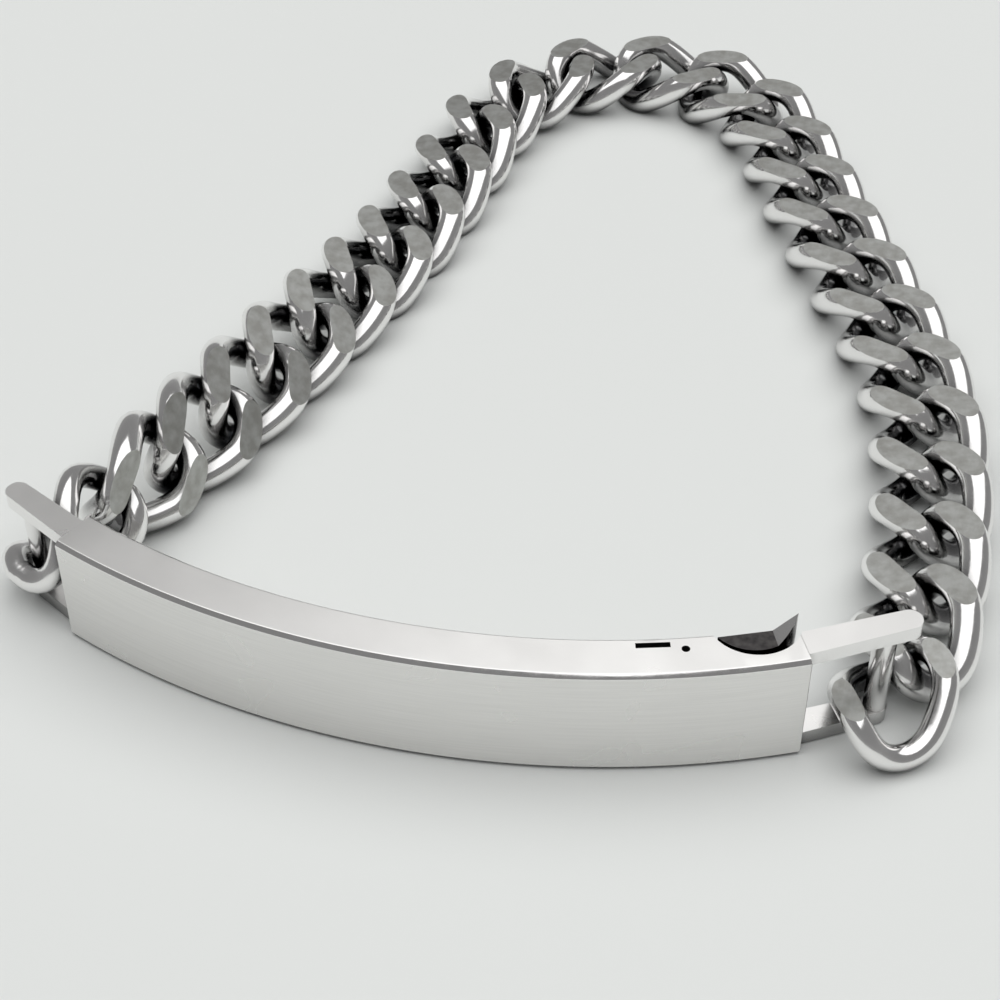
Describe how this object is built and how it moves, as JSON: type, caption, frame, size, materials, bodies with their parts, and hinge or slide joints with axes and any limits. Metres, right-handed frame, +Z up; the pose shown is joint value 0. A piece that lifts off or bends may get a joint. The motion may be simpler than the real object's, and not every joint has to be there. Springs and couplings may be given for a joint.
{
  "type": "chain bracelet",
  "caption": "Closed bracelet of twisted curb links, ground flat, with a curved bare name plate and a small catch lever; worn round the wrist.",
  "frame": {"origin": "on the table, under the middle of the whole loop's bounding box", "axes": "+X along the name plate toward its catch, +Y away from the plate's front face toward the far end of the chain, +Z up"},
  "size_m": [0.0608, 0.0806, 0.0087],
  "materials": {
    "plate_metal": "silver, satin front, polished edges",
    "lever_metal": "silver, polished",
    "chain_metal": "silver, polished and ground flat"
  },
  "bodies": {
    "root": {"name_plate": "plate_metal", "catch_lever": "lever_metal", "link_01": "chain_metal", "link_02": "chain_metal", "link_03": "chain_metal", "link_04": "chain_metal", "link_05": "chain_metal", "link_06": "chain_metal", "link_07": "chain_metal", "link_08": "chain_metal", "link_09": "chain_metal", "link_10": "chain_metal", "link_11": "chain_metal", "link_12": "chain_metal", "link_13": "chain_metal", "link_14": "chain_metal", "link_15": "chain_metal", "link_16": "chain_metal", "link_17": "chain_metal", "link_18": "chain_metal", "link_19": "chain_metal", "link_20": "chain_metal", "link_21": "chain_metal", "link_22": "chain_metal", "link_23": "chain_metal", "link_24": "chain_metal", "link_25": "chain_metal", "link_26": "chain_metal", "link_27": "chain_metal"}
  },
  "joints": []
}
